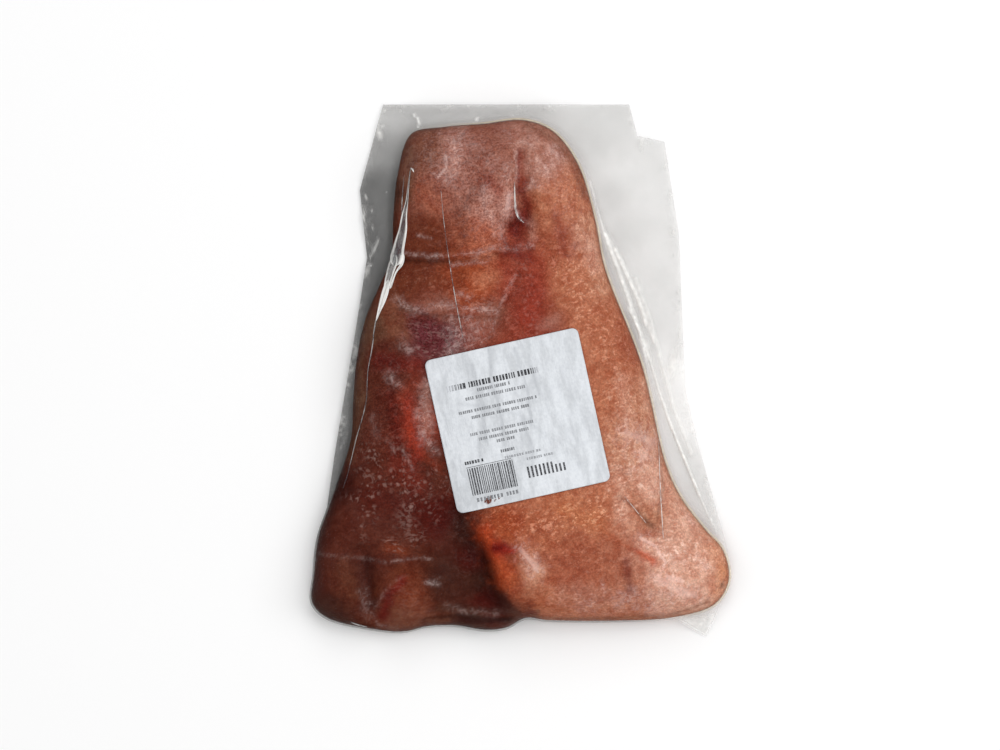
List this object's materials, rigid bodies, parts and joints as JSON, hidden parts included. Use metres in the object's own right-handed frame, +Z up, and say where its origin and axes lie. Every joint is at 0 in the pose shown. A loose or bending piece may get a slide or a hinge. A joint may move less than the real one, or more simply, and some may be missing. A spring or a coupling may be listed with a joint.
{
  "type": "vacuum-packed dried cured pork snout",
  "caption": "Dried, cured pork snout pressed flat and sealed in a clear vacuum bag with a flat film border, with a square paper sticker on its top.",
  "frame": {"origin": "middle of the pack's underside, on the table it lies on", "axes": "+Y towards the narrow snout end, +X to the right of the shown side, +Z up out of the shown side"},
  "size_m": [0.2042, 0.2568, 0.0309],
  "materials": {
    "cured_meat": "dark smoked rind with pale specks, slightly greasy",
    "label_paper": "matt white sticker paper, a little creased",
    "clear_film": "clear, slightly hazy vacuum film, shiny, with pulled creases",
    "label_print": "black thermal print"
  },
  "bodies": {
    "root": {"vacuum_pack": "cured_meat", "label": "label_paper"}
  },
  "joints": []
}
